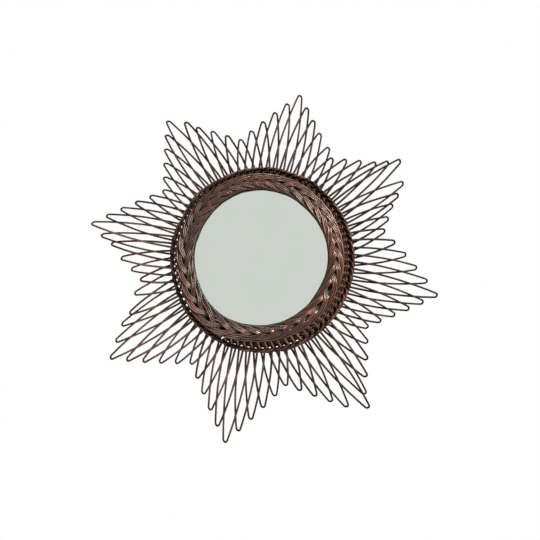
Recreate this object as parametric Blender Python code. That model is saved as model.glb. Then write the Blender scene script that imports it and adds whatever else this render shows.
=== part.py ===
"""Eight-pointed sunburst wall mirror woven from varnished rods, face towards -Y, wall at Y = 0.

The round glass sits behind a plaited border. A band of stakes carries the border and slopes back and
out to a rope-like foot. Eighty hairpin rods leave the foot in two crossing layers and form the points.
Angles are in degrees, clockwise from the top as seen from the front. Lengths are in metres.
"""
import math

import bmesh
import bpy
from mathutils import Vector

# Rods and clearances
ROD_WIDTH = 0.0029
ROD_DEPTH = 0.0026
TOUCH_GAP = 0.0003

# Foot ring, whose flat back lies on the wall
FOOT_RADIUS = 0.1335
FOOT_WIDTH = 0.007
FOOT_DEPTH = 0.006
FOOT_SIDES = 48

# Eight points of ten hairpin rods each
POINT_COUNT = 8
RODS_PER_POINT = 10
SPAN_IN_STAKES = 3
FIRST_VALLEY_DEG = -55.8
BASE_LEAD_DEG = 1.0
PAIR_HALF_DEG = 0.9
VALLEY_REACH = 0.1885
POINT_REACH = 0.2665
REACH_POWER = 1.18
GATHER_DEG = 1.5
VALLEY_TURN_DEG = (0.6, 0.7, 0.9, -1.9, -0.9, 0.0, -0.6, 0.8)
POINT_TURN_DEG = (-1.0, 1.4, 0.6, 0.4, -0.2, -0.5, -0.2, 0.3)
VALLEY_EXTRA = (-0.004, 0.0005, 0.0005, 0.0015, -0.002, 0.0005, -0.002, -0.004)
POINT_EXTRA = (-0.0015, 0.0, -0.004, 0.0, 0.0, 0.0045, 0.0015, 0.0005)
STRAY_DEG = {6: 1.3, 19: 1.2, 24: -1.2, 25: -2.8, 26: 1.3, 27: 1.0, 45: -1.9, 68: -1.9, 73: 1.2}
HAIRPIN_RADIUS = 0.0031
LEG_BOW_DEG = 6.5
LEG_STEPS = 3

# Rope at the foot, made by the tails of the rods
ROPE_INSET = 0.0029
ROPE_OUTSET = 0.0027
ROPE_CORNER = 0.0017
ROPE_LAYER_SPREAD = 0.0066
SPREAD_RUN = 0.024
TIP_STANDOFF = 0.004

# Plaited border of three strands
STRAND_COUNT = 3
PLAIT_PERIODS = 11
PLAIT_STEPS = 6
PLAIT_RADIUS = 0.1075
PLAIT_SWING = 0.0079
PLAIT_LIFT = 0.0031
PLAIT_STANDOFF = 0.031
STRAND_WIDTH = 0.0080
STRAND_DEPTH = 0.0030

# Band of stakes between the foot and the border
STAKE_WIDTH = 0.0044
STAKE_DEPTH = 0.0026
STAKE_INSET = 0.0056
STAKE_OUTSET = 0.0071
WEAVER_ALONG = 0.55
WEAVER_SIDES = 60

# Glass and board, which lie inside the band
PLATE_SIDE_GAP = 0.002
GLASS_THICKNESS = 0.003
BOARD_THICKNESS = 0.004
DISC_SIDES = 48

# Bar across the foot ring that rests on the nail
HANG_BAR_HALF_LENGTH = 0.034
HANG_BAR_WIDTH = 0.004
HANG_BAR_DEPTH = 0.003

# Places that follow from the sizes above
TOWARDS_VIEWER = Vector((0.0, -1.0, 0.0))
CENTRE_Z = -FOOT_RADIUS
STAKE_COUNT = POINT_COUNT * RODS_PER_POINT
PITCH_DEG = 360.0 / STAKE_COUNT
ROPE_INNER_RADIUS = FOOT_RADIUS - ROPE_INSET
ROPE_OUTER_RADIUS = FOOT_RADIUS + ROPE_OUTSET
ROPE_Y = -(FOOT_DEPTH + TOUCH_GAP + ROD_DEPTH / 2 + ROPE_LAYER_SPREAD / 2 + 0.0001)
LAYER_SPREAD = ROD_DEPTH + TOUCH_GAP
PLAIT_BACK_Y = -(PLAIT_STANDOFF - PLAIT_LIFT - STRAND_DEPTH / 2)
GLASS_FRONT_Y = PLAIT_BACK_Y + TOUCH_GAP
GLASS_BACK_Y = GLASS_FRONT_Y + GLASS_THICKNESS
BOARD_FRONT_Y = GLASS_BACK_Y + TOUCH_GAP
BOARD_BACK_Y = BOARD_FRONT_Y + BOARD_THICKNESS
STAKE_REACH = math.hypot(STAKE_WIDTH / 2, STAKE_DEPTH / 2)
STAKE_BACK_Y = -(FOOT_DEPTH + TOUCH_GAP + STAKE_REACH)
STAKE_FRONT_Y = PLAIT_BACK_Y + TOUCH_GAP + STAKE_REACH
STAKE_BACK_RADIUS = FOOT_RADIUS - STAKE_INSET
STAKE_FRONT_RADIUS = PLAIT_RADIUS + STAKE_OUTSET
PLATE_RADIUS = STAKE_FRONT_RADIUS - STAKE_REACH - PLATE_SIDE_GAP


def place(deg, radius, y):
    """Point at a clock angle and a radius from the middle of the glass."""
    turn = math.radians(deg)
    return Vector((radius * math.sin(turn), y, CENTRE_Z + radius * math.cos(turn)))


def material(name, colour, roughness, metallic=0.0):
    """Plain Principled material."""
    made = bpy.data.materials.new(name)
    made.use_nodes = True
    shader = made.node_tree.nodes["Principled BSDF"]
    shader.inputs["Base Color"].default_value = (*colour, 1.0)
    shader.inputs["Roughness"].default_value = roughness
    shader.inputs["Metallic"].default_value = metallic
    return made


def add_mesh(name, verts, faces, mat, smooth=False):
    """Mesh object with outward faces."""
    mesh = bpy.data.meshes.new(name)
    mesh.from_pydata([tuple(v) for v in verts], [], faces)
    bm = bmesh.new()
    bm.from_mesh(mesh)
    bmesh.ops.recalc_face_normals(bm, faces=bm.faces)
    bm.to_mesh(mesh)
    bm.free()
    for face in mesh.polygons:
        face.use_smooth = smooth
    obj = bpy.data.objects.new(name, mesh)
    mesh.materials.append(mat)
    bpy.context.scene.collection.objects.link(obj)
    return obj


def sweep(name, points, ups, section, closed, mat, smooth=False):
    """Mitred sweep of a section, given across and up, along points."""
    count = len(points)
    sides = len(section)
    runs = []
    for i in range(count if closed else count - 1):
        runs.append((points[(i + 1) % count] - points[i]).normalized())
    verts = []
    for i in range(count):
        ahead = runs[i] if closed or i < count - 1 else runs[-1]
        behind = runs[i - 1] if closed or i > 0 else runs[0]
        up = ups[i]
        side_a = ahead.cross(up).normalized()
        side_b = behind.cross(up).normalized()
        side = (side_a + side_b).normalized()
        stretch = min(1.0 / max(side.dot(side_a), 0.5), 1.6)
        for across, rise in section:
            verts.append(points[i] + side * (across * stretch) + up * rise)
    faces = []
    for i in range(count if closed else count - 1):
        low = i * sides
        high = ((i + 1) % count) * sides
        for j in range(sides):
            nxt = (j + 1) % sides
            faces.append((low + j, low + nxt, high + nxt, high + j))
    if not closed:
        faces.append(tuple(range(sides)))
        faces.append(tuple(range((count - 1) * sides, count * sides)))
    return add_mesh(name, verts, faces, mat, smooth)


def rod_section(width, depth):
    """Three-sided rod, ridge to the front."""
    return [(-width / 2, -depth / 2), (width / 2, -depth / 2), (0.0, depth / 2)]


def box_section(width, depth):
    """Four-sided bar."""
    half_w = width / 2
    half_d = depth / 2
    return [(-half_w, -half_d), (half_w, -half_d), (half_w, half_d), (-half_w, half_d)]


def lens_section(width, depth):
    """Flattened strand, thin at both edges."""
    return [(-width / 2, 0.0), (0.0, -depth / 2), (width / 2, 0.0), (0.0, depth / 2)]


def stake_deg(index):
    """Clock angle of a pair of stakes."""
    span = SPAN_IN_STAKES * PITCH_DEG
    return FIRST_VALLEY_DEG + BASE_LEAD_DEG - span / 2 + index * PITCH_DEG


def tip_of(index):
    """Clock angle and reach of one hairpin's tip."""
    point = (index // RODS_PER_POINT) % POINT_COUNT
    step = index % RODS_PER_POINT
    half = RODS_PER_POINT / 2
    share = 1.0 - abs(step - half) / half
    valley = (point + (1 if step > half else 0)) % POINT_COUNT
    low = VALLEY_REACH + VALLEY_EXTRA[valley]
    high = POINT_REACH + POINT_EXTRA[point]
    reach = low + (high - low) * share ** REACH_POWER
    nominal = FIRST_VALLEY_DEG + index * PITCH_DEG
    gather = GATHER_DEG * math.sin(2 * math.pi * step / RODS_PER_POINT)
    turn = VALLEY_TURN_DEG[valley] + (POINT_TURN_DEG[point] - VALLEY_TURN_DEG[valley]) * share
    stray = STRAY_DEG.get(index % STAKE_COUNT, 0.0)
    return nominal + gather + turn + stray, reach


def layer_y(radius, side):
    """Depth of the front (side -1) or back (side 1) layer of rods at a radius."""
    out = max(radius - ROPE_OUTER_RADIUS, 0.0)
    lean = min(out / (POINT_REACH - ROPE_OUTER_RADIUS), 1.0)
    middle = ROPE_Y + (-TIP_STANDOFF - ROPE_Y) * lean
    near = min(out / SPREAD_RUN, 1.0)
    spread = ROPE_LAYER_SPREAD + (LAYER_SPREAD - ROPE_LAYER_SPREAD) * near
    return middle + side * spread / 2


def flat(deg, radius):
    """In-plane position of a clock angle and radius."""
    turn = math.radians(deg)
    return Vector((radius * math.sin(turn), radius * math.cos(turn)))


def leg(base, shoulder, bow, steps):
    """Points of a leg bowed into a shallow arc, without its end at the base."""
    chord = shoulder - base
    normal = Vector((chord.y, -chord.x)).normalized()
    half = math.radians(abs(bow))
    rise = chord.length / 2 * math.tan(half / 2) * math.copysign(1.0, bow)
    found = []
    for i in range(1, steps + 1):
        t = i / steps
        found.append(base + chord * t + normal * (4 * rise * t * (1 - t)))
    return found


def hairpin(index, first, last):
    """Centre line of one hairpin rod, with the tail that joins it to the rod before."""
    left_deg = stake_deg(index) + PAIR_HALF_DEG
    right_deg = stake_deg(index + SPAN_IN_STAKES) - PAIR_HALF_DEG
    corner_deg = math.degrees(ROPE_CORNER / ROPE_INNER_RADIUS)
    inner = ROPE_INNER_RADIUS
    outer = ROPE_OUTER_RADIUS
    front = ROPE_Y - ROPE_LAYER_SPREAD / 2
    back = ROPE_Y + ROPE_LAYER_SPREAD / 2
    path = []
    if first:
        tail_deg = stake_deg(index + SPAN_IN_STAKES - 1) - PAIR_HALF_DEG
        path.append(place(tail_deg + corner_deg, outer, back))
    path.append(place(left_deg + corner_deg, inner, front))
    path.append(place(left_deg, inner + ROPE_CORNER, front))
    tip_deg, reach = tip_of(index)
    tip = flat(tip_deg, reach - ROD_WIDTH / 2)
    base_left = flat(left_deg, inner + ROPE_CORNER)
    base_right = flat(right_deg, outer + ROPE_CORNER)
    axis = (tip - (base_left + base_right) / 2).normalized()
    side = Vector((axis.y, -axis.x))
    centre = tip - axis * HAIRPIN_RADIUS
    ends = []
    for hand, base in ((-1, base_left), (1, base_right)):
        chord = centre + side * (hand * HAIRPIN_RADIUS) - base
        lean = math.atan2(-hand * chord.dot(side), chord.dot(axis)) + math.radians(LEG_BOW_DEG)
        out = math.pi / 2 - lean
        ends.append(centre + (axis * math.cos(out) + side * (hand * math.sin(out))) * HAIRPIN_RADIUS)
    up_leg = leg(base_left, ends[0], -LEG_BOW_DEG, LEG_STEPS)
    down_leg = leg(base_right, ends[1], LEG_BOW_DEG, LEG_STEPS)
    for spot in up_leg:
        path.append(Vector((spot.x, layer_y(spot.length, -1), CENTRE_Z + spot.y)))
    for hand in (-1, 1):
        round_deg = math.radians(28)
        spot = centre + (axis * math.cos(round_deg) + side * (hand * math.sin(round_deg))) * HAIRPIN_RADIUS
        path.append(Vector((spot.x, layer_y(spot.length, hand), CENTRE_Z + spot.y)))
    for spot in reversed(down_leg):
        path.append(Vector((spot.x, layer_y(spot.length, 1), CENTRE_Z + spot.y)))
    if last:
        path.append(place(right_deg, outer + ROD_WIDTH / 2 + 2 * TOUCH_GAP, back))
    else:
        path.append(place(right_deg, outer + ROPE_CORNER, back))
        path.append(place(right_deg - corner_deg, outer, back))
    return path


def star_point(number, mat):
    """Ten hairpin rods of one point, joined by their tails in the rope."""
    path = []
    for step in range(RODS_PER_POINT):
        index = number * RODS_PER_POINT + step
        path.extend(hairpin(index, step == 0, step == RODS_PER_POINT - 1))
    ups = [TOWARDS_VIEWER] * len(path)
    name = "star_point_%d" % (number + 1)
    return sweep(name, path, ups, rod_section(ROD_WIDTH, ROD_DEPTH), False, mat)


def plait_strand(number, mat):
    """One strand of the flat three-strand plait."""
    path = []
    shift = 360.0 * number / STRAND_COUNT
    total = PLAIT_PERIODS * PLAIT_STEPS
    for i in range(total):
        phase = 360.0 / PLAIT_STEPS * (i + 0.5)
        deg = (phase - shift) / PLAIT_PERIODS
        swing = math.sin(math.radians(phase))
        lift = math.sin(math.radians(2 * phase)) / math.sin(math.radians(60))
        path.append(place(deg, PLAIT_RADIUS + PLAIT_SWING * swing, -PLAIT_STANDOFF - PLAIT_LIFT * lift))
    ups = [TOWARDS_VIEWER] * len(path)
    name = "plait_strand_%d" % (number + 1)
    return sweep(name, path, ups, lens_section(STRAND_WIDTH, STRAND_DEPTH), True, mat)


def cone_up(deg):
    """Outward normal of the sloping band, towards the front and away from the middle."""
    run = place(deg, STAKE_FRONT_RADIUS, STAKE_FRONT_Y) - place(deg, STAKE_BACK_RADIUS, STAKE_BACK_Y)
    around = place(deg + 90.0, 1.0, 0.0) - place(deg, 0.0, 0.0)
    return around.cross(run).normalized()


def stake_band(mat):
    """Eighty stakes as one bar that turns back under the border and behind the rope."""
    path = []
    ups = []
    for i in range(STAKE_COUNT):
        deg = stake_deg(i)
        back = place(deg, STAKE_BACK_RADIUS, STAKE_BACK_Y)
        front = place(deg, STAKE_FRONT_RADIUS, STAKE_FRONT_Y)
        path.extend((back, front) if i % 2 == 0 else (front, back))
        ups.extend((cone_up(deg), cone_up(deg)))
    return sweep("stake_band", path, ups, box_section(STAKE_WIDTH, STAKE_DEPTH), True, mat)


def ring(name, radius, y, sides, section, mat, up_of=None):
    """Closed ring of a constant section."""
    path = []
    ups = []
    for i in range(sides):
        deg = 360.0 * i / sides
        path.append(place(deg, radius, y))
        ups.append(up_of(deg) if up_of else TOWARDS_VIEWER)
    return sweep(name, path, ups, section, True, mat)


def disc(name, radius, front_y, back_y, sides, mat):
    """Round plate."""
    verts = []
    for y in (front_y, back_y):
        for i in range(sides):
            verts.append(place(360.0 * i / sides, radius, y))
    faces = [tuple(range(sides)), tuple(range(sides, 2 * sides))]
    for i in range(sides):
        nxt = (i + 1) % sides
        faces.append((i, nxt, sides + nxt, sides + i))
    return add_mesh(name, verts, faces, mat)


def hanging_bar(mat):
    """Bar across the inside of the foot ring near its top, over the nail."""
    inner = FOOT_RADIUS - FOOT_WIDTH / 2 - TOUCH_GAP
    height = math.sqrt(inner ** 2 - HANG_BAR_HALF_LENGTH ** 2) - HANG_BAR_WIDTH / 2 - TOUCH_GAP
    y = -FOOT_DEPTH / 2
    ends = []
    for hand in (-1, 1):
        ends.append(Vector((hand * HANG_BAR_HALF_LENGTH, y, CENTRE_Z + height)))
    ups = [TOWARDS_VIEWER] * 2
    return sweep("hanging_bar", ends, ups, box_section(HANG_BAR_WIDTH, HANG_BAR_DEPTH), False, mat)


def main():
    """Make every piece."""
    for obj in list(bpy.data.objects):
        bpy.data.objects.remove(obj, do_unlink=True)
    rods = material("rod_varnish", (0.12, 0.055, 0.035), 0.35)
    plait = material("plait_varnish", (0.17, 0.08, 0.05), 0.3)
    silver = material("mirror_glass", (0.85, 0.87, 0.85), 0.02, 1.0)
    board = material("backing_board", (0.32, 0.21, 0.13), 0.7)
    for number in range(POINT_COUNT):
        star_point(number, rods)
    for number in range(STRAND_COUNT):
        plait_strand(number, plait)
    stake_band(rods)
    ring("foot_ring", FOOT_RADIUS, -FOOT_DEPTH / 2, FOOT_SIDES, box_section(FOOT_WIDTH, FOOT_DEPTH), rods)
    off = STAKE_DEPTH / 2 + TOUCH_GAP + ROD_DEPTH / 2 + 0.0002
    slope = cone_up(0.0)
    radius = STAKE_BACK_RADIUS + (STAKE_FRONT_RADIUS - STAKE_BACK_RADIUS) * WEAVER_ALONG + slope.z * off
    depth = STAKE_BACK_Y + (STAKE_FRONT_Y - STAKE_BACK_Y) * WEAVER_ALONG + slope.y * off
    ring("band_weaver", radius, depth, WEAVER_SIDES, rod_section(ROD_WIDTH, ROD_DEPTH), rods, cone_up)
    disc("mirror_glass", PLATE_RADIUS, GLASS_FRONT_Y, GLASS_BACK_Y, DISC_SIDES, silver)
    disc("backing_board", PLATE_RADIUS, BOARD_FRONT_Y, BOARD_BACK_Y, DISC_SIDES, board)
    hanging_bar(rods)


main()
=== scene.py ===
"""Looks of the woven sunburst mirror: single rods, plaited border, twined band, glass and board.

Lengths in metres, angles in degrees clockwise from the top as seen from the front.
"""
import math
import random

import bmesh
import bpy
import numpy as np
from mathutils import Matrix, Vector

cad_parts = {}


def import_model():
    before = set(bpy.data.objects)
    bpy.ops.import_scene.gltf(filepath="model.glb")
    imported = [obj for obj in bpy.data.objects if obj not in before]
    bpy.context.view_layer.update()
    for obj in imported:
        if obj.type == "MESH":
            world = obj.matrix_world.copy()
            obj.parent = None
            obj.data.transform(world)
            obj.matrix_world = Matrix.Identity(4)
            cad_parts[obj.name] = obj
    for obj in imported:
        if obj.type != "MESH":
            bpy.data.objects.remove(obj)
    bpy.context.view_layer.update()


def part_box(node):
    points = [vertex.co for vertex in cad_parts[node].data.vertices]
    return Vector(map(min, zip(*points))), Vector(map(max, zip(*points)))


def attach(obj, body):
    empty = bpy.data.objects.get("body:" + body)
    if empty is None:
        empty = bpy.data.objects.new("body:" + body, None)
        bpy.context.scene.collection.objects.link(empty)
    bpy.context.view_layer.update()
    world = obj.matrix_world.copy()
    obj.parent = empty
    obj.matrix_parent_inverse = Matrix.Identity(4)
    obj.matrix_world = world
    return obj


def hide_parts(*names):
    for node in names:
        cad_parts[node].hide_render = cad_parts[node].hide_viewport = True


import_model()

# Sizes shared with the solids
FOOT_RADIUS = 0.1335
FOOT_DEPTH = 0.006
POINT_COUNT = 8
RODS_PER_POINT = 10
SPAN_IN_STAKES = 3
FIRST_VALLEY_DEG = -55.8
BASE_LEAD_DEG = 1.0
VALLEY_REACH = 0.1885
POINT_REACH = 0.2665
REACH_POWER = 1.18
GATHER_DEG = 1.5
VALLEY_TURN_DEG = (0.6, 0.7, 0.9, -1.9, -0.9, 0.0, -0.6, 0.8)
POINT_TURN_DEG = (-1.0, 1.4, 0.6, 0.4, -0.2, -0.5, -0.2, 0.3)
VALLEY_EXTRA = (-0.004, 0.0005, 0.0005, 0.0015, -0.002, 0.0005, -0.002, -0.004)
POINT_EXTRA = (-0.0015, 0.0, -0.004, 0.0, 0.0, 0.0045, 0.0015, 0.0005)
STRAY_DEG = {6: 1.3, 19: 1.2, 24: -1.2, 25: -2.8, 26: 1.3, 27: 1.0, 45: -1.9, 68: -1.9, 73: 1.2}
HAIRPIN_RADIUS = 0.0031
LEG_BOW_DEG = 6.5
TIP_STANDOFF = 0.004

# Hairpin rods: sizes, where a leg starts and where its tip aims back to
ROD_RADIUS = 0.00152
LAYER_SPREAD = 0.0031
PAIR_HALF_DEG = 0.9
LEG_START_RADIUS = 0.1305
LEFT_AIM_RADIUS = 0.1323
RIGHT_AIM_RADIUS = 0.1379
LEG_STEPS = 12
TIP_STEPS = 8
LEG_WAVER = 0.0004
# Stain at tip and foot, and how far from each it reaches
TIP_STAIN = 0.55
TIP_STAIN_REACH = 0.030
FOOT_STAIN = 0.35
FOOT_STAIN_RADII = (0.150, 0.134)
# Taper from foot to the open part of a leg, and at the tip
LEG_FOOT_SWELL = 1.07
LEG_TAPER = 0.09
LEG_TAPER_RADII = (0.134, 0.185)
TIP_TAPER = 0.05
# Painted light: the legs are paler towards this clock angle, where light washes them out, and darker on the
# far side, where the key light falls
WASHED_SIDE = 0.38
WASHED_DEG = 240.0

# Rope and tails
ROPE_Y = -0.0110
ROPE_OUTER_RADIUS = 0.1362
TAIL_RADIUS = 0.00125
TAIL_Y = -0.0150
TAIL_STEPS = 14
TAIL_DIVE = 0.0034
TAIL_DIVE_SHARES = (0.28, 0.74)
# Painted shade on the tail ends, where they dive under
TAIL_END_SHADE = 0.5
TAIL_SLOPE = 0.0007
ROPE_SWING = 0.0018

# Band, border and hoop
STAKE_ROD_RADIUS = 0.00105
TWINE_RADIUS = 0.00120
PACKING_RADIUS = 0.00135
PACKING_LIFT = -0.0021
BORDER_ROD_RADIUS = 0.00120
BORDER_RODS = 3
BORDER_CREST_Y = -0.0341
HOOP_RADIUS = 0.1349
HOOP_HALF_WIDTH = 0.0016
HOOP_HALF_DEPTH = FOOT_DEPTH / 2 - 0.0005
# Below 1 the hoop's section is squarer than an ellipse
HOOP_ROUNDING = 0.6
WINDING_TURNS = 230
WINDING_STEPS = 12
WINDING_HALF_WIDTH = 0.00165
WINDING_HALF_DEPTH = 0.0005

STAKE_COUNT = POINT_COUNT * RODS_PER_POINT
PITCH_DEG = 360.0 / STAKE_COUNT
CENTRE_Z = -FOOT_RADIUS
VIEWER = np.array((0.0, -1.0, 0.0))
# Rounded end of a rod: how far out its two rings lie and how wide they are, as shares of its radius
END_OUT = (0.95, 0.6)
END_WIDE = (0.35, 0.8)
# Random slide of the grain along a rod, and its share across
GRAIN_SLIDE = 40.0
GRAIN_SLIDE_ACROSS = 0.37

random.seed(7)


def place(deg, radius, y):
    """Point at a clock angle and a radius from the middle of the glass."""
    turn = math.radians(deg)
    return np.array((radius * math.sin(turn), y, CENTRE_Z + radius * math.cos(turn)))


def smooth_step(low, high, value):
    """0 below low, 1 above high, smooth between."""
    t = min(max((value - low) / (high - low), 0.0), 1.0)
    return t * t * (3 - 2 * t)


class Bundle:
    """Collects round rods into one mesh, with their grain and tone as attributes."""

    def __init__(self):
        self.verts = []
        self.faces = []
        self.grain = []
        self.tone = []
        self.count = 0

    def rod(self, points, radius, sides=10, closed=False, tone=0.5, dark=None, squash=1.0,
            grooves=(0.0, 0.0)):
        """One rod along points. radius is one value or one per point, squash scales its depth.

        dark darkens it along its length, for real stains, painted shade and painted highlights; grooves
        darkens its left and its right side, painted shade where it lies against other rods.
        """
        pts = np.array(points, float)
        count = len(pts)
        radii = np.full(count, radius) if np.isscalar(radius) else np.array(radius, float)
        darks = np.zeros(count) if dark is None else np.array(dark, float)
        if not closed:
            first = pts[0] - pts[1]
            last = pts[-1] - pts[-2]
            first = first / np.linalg.norm(first)
            last = last / np.linalg.norm(last)
            lead = [pts[0] + first * radii[0] * out for out in END_OUT]
            tail = [pts[-1] + last * radii[-1] * out for out in END_OUT[::-1]]
            pts = np.vstack([lead, pts, tail])
            radii = np.concatenate([[radii[0] * wide for wide in END_WIDE], radii,
                                    [radii[-1] * wide for wide in END_WIDE[::-1]]])
            darks = np.concatenate([[darks[0]] * 2, darks, [darks[-1]] * 2])
            count += 4
        if closed:
            tangent = np.roll(pts, -1, 0) - np.roll(pts, 1, 0)
        else:
            tangent = np.gradient(pts, axis=0)
        tangent /= np.linalg.norm(tangent, axis=1)[:, None]
        side = np.cross(tangent, VIEWER)
        side /= np.linalg.norm(side, axis=1)[:, None]
        up = np.cross(side, tangent)
        steps = np.linalg.norm(np.diff(pts, axis=0), axis=1)
        along = np.concatenate([[0.0], np.cumsum(steps)])
        offset = random.random() * GRAIN_SLIDE
        for j in range(sides):
            turn = 2 * math.pi * j / sides
            ca, sa = math.cos(turn), math.sin(turn)
            ring = pts + side * (ca * radii)[:, None] + up * (sa * squash * radii)[:, None]
            self.verts.append(ring)
            grain = np.stack([ca * radii + offset * GRAIN_SLIDE_ACROSS, sa * radii, along + offset], 1)
            self.grain.append(grain)
            # painted shade on the rod's sides, added to the stains and painted light along it
            stain_and_painted_light = darks + grooves[0 if ca < 0 else 1] * ca * ca
            self.tone.append(np.stack([np.full(count, tone), stain_and_painted_light, np.zeros(count)], 1))
        self.skin(sides, count, closed)

    def skin(self, sides, count, closed):
        """Faces of the tube whose sides, of count vertices each, were added last."""
        start = self.count
        i = np.arange(count if closed else count - 1)
        nxt = (i + 1) % count
        for j in range(sides):
            k = (j + 1) % sides
            quad = np.stack([start + j * count + i, start + k * count + i,
                             start + k * count + nxt, start + j * count + nxt], 1)
            self.faces.extend(quad.tolist())
        if not closed:
            self.faces.append([start + j * count for j in range(sides)][::-1])
            self.faces.append([start + j * count + count - 1 for j in range(sides)])
        self.count += sides * count

    def build(self, name, mat, replaces=()):
        """Makes the object, smooth, on the root body."""
        mesh = bpy.data.meshes.new(name)
        mesh.from_pydata(np.concatenate(self.verts).tolist(), [], self.faces)
        for label, rows in (("grain", self.grain), ("tone", self.tone)):
            layer = mesh.attributes.new(label, "FLOAT_VECTOR", "POINT")
            layer.data.foreach_set("vector", np.concatenate(rows).astype(np.float32).ravel())
        mesh.polygons.foreach_set("use_smooth", np.ones(len(mesh.polygons), bool))
        tidy_normals(mesh)
        return finish_piece(name, mesh, [mat], replaces)


def tidy_normals(mesh):
    """Outward faces."""
    bm = bmesh.new()
    bm.from_mesh(mesh)
    bmesh.ops.recalc_face_normals(bm, faces=bm.faces)
    bm.to_mesh(mesh)
    bm.free()


def finish_piece(name, mesh, mats, replaces=()):
    """Object from a mesh, riding on the root body."""
    obj = bpy.data.objects.new(name, mesh)
    bpy.context.scene.collection.objects.link(obj)
    for mat in mats:
        mesh.materials.append(mat)
    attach(obj, "root")
    if replaces:
        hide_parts(*replaces)
    return obj


# Materials

def node(tree, kind, **values):
    """New shader node with properties."""
    made = tree.nodes.new(kind)
    for key, value in values.items():
        setattr(made, key, value)
    return made


def ramp(tree, stops):
    """Colour ramp from (place, colour) stops."""
    made = tree.nodes.new("ShaderNodeValToRGB")
    band = made.color_ramp
    while len(band.elements) < len(stops):
        band.elements.new(0.5)
    for element, (pos, colour) in zip(band.elements, stops):
        element.position = pos
        element.color = (*colour, 1.0)
    return made


def new_material(name, roughness=0.4, coat=0.0, coat_rough=0.1, metallic=0.0, specular=0.5):
    """Material, its tree and its Principled shader."""
    mat = bpy.data.materials.new(name)
    mat.use_nodes = True
    tree = mat.node_tree
    shader = tree.nodes["Principled BSDF"]
    shader.inputs["Roughness"].default_value = roughness
    shader.inputs["Coat Weight"].default_value = coat
    shader.inputs["Coat Roughness"].default_value = coat_rough
    shader.inputs["Metallic"].default_value = metallic
    shader.inputs["Specular IOR Level"].default_value = specular
    return mat, tree, shader


def grain_noise(tree, scale, detail, vector):
    """Noise read in rod coordinates, scaled across and along."""
    mapping = node(tree, "ShaderNodeMapping")
    mapping.inputs["Scale"].default_value = scale
    tree.links.new(vector, mapping.inputs["Vector"])
    noise = node(tree, "ShaderNodeTexNoise")
    noise.inputs["Scale"].default_value = 1.0
    noise.inputs["Detail"].default_value = detail
    tree.links.new(mapping.outputs["Vector"], noise.inputs["Vector"])
    return noise.outputs["Fac"]


def math_node(tree, operation, a, b):
    """Math node between sockets or numbers."""
    made = node(tree, "ShaderNodeMath", operation=operation)
    for slot_index, value in enumerate((a, b)):
        if isinstance(value, (int, float)):
            made.inputs[slot_index].default_value = value
        else:
            tree.links.new(value, made.inputs[slot_index])
    return made.outputs[0]


# Rod material: noise scales across and along the grain, and what each part adds to the colour mix
STREAK_SCALE = (2600.0, 2600.0, 60.0)
PATCH_SCALE = (120.0, 120.0, 34.0)
STREAK_SHARE = 0.30
PATCH_SHARE = 0.55
TONE_SHARE = 0.5
STAIN_AND_PAINTED_LIGHT_SHARE = 0.45
MIX_CENTRING = 0.175
# Roughness lost and gained between patches, and gained where a rod is stained or painted with shade
PATCH_GLOSS = 0.09
PATCH_DULL = 0.12
STAIN_AND_PAINTED_LIGHT_DUST = 0.38
GRAIN_DEPTH = 0.00025
COAT_ROUGHNESS = 0.22
VARNISH_TINT = (1.0, 0.84, 0.75, 1.0)


def rod_material(name, deep, mid, warm, roughness, specular, coat, bump):
    """Varnished rod: long grain, patches along the rod, darker bends from stains and painted shade, painted
    highlights, and a satin coat.
    """
    mat, tree, shader = new_material(name, roughness, coat, COAT_ROUGHNESS, 0.0, specular)
    shader.inputs["Specular Tint"].default_value = VARNISH_TINT
    grain = node(tree, "ShaderNodeAttribute", attribute_name="grain").outputs["Vector"]
    tone = node(tree, "ShaderNodeAttribute", attribute_name="tone").outputs["Vector"]
    parts = node(tree, "ShaderNodeSeparateXYZ")
    tree.links.new(tone, parts.inputs[0])
    streak = grain_noise(tree, STREAK_SCALE, 3.0, grain)
    patch = grain_noise(tree, PATCH_SCALE, 2.0, grain)
    mixed = math_node(tree, "ADD", math_node(tree, "MULTIPLY", streak, STREAK_SHARE),
                      math_node(tree, "MULTIPLY", patch, PATCH_SHARE))
    mixed = math_node(tree, "ADD", mixed, math_node(tree, "MULTIPLY", parts.outputs["X"], TONE_SHARE))
    mixed = math_node(tree, "SUBTRACT", mixed, MIX_CENTRING)
    # the tone's second part darkens the colour: real stains and painted shade, and a painted highlight where
    # it is negative
    mixed = math_node(tree, "SUBTRACT", mixed, math_node(tree, "MULTIPLY", parts.outputs["Y"], STAIN_AND_PAINTED_LIGHT_SHARE))
    colours = ramp(tree, ((0.22, deep), (0.5, mid), (0.8, warm)))
    tree.links.new(mixed, colours.inputs["Fac"])
    tree.links.new(colours.outputs["Color"], shader.inputs["Base Color"])
    rough = node(tree, "ShaderNodeMapRange")
    rough.inputs["To Min"].default_value = roughness - PATCH_GLOSS
    rough.inputs["To Max"].default_value = roughness + PATCH_DULL
    tree.links.new(patch, rough.inputs["Value"])
    dusty = math_node(tree, "MULTIPLY", parts.outputs["Y"], STAIN_AND_PAINTED_LIGHT_DUST)
    tree.links.new(math_node(tree, "ADD", rough.outputs[0], dusty), shader.inputs["Roughness"])
    relief = node(tree, "ShaderNodeBump")
    relief.inputs["Strength"].default_value = bump
    relief.inputs["Distance"].default_value = GRAIN_DEPTH
    tree.links.new(streak, relief.inputs["Height"])
    tree.links.new(relief.outputs["Normal"], shader.inputs["Normal"])
    return mat


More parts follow.
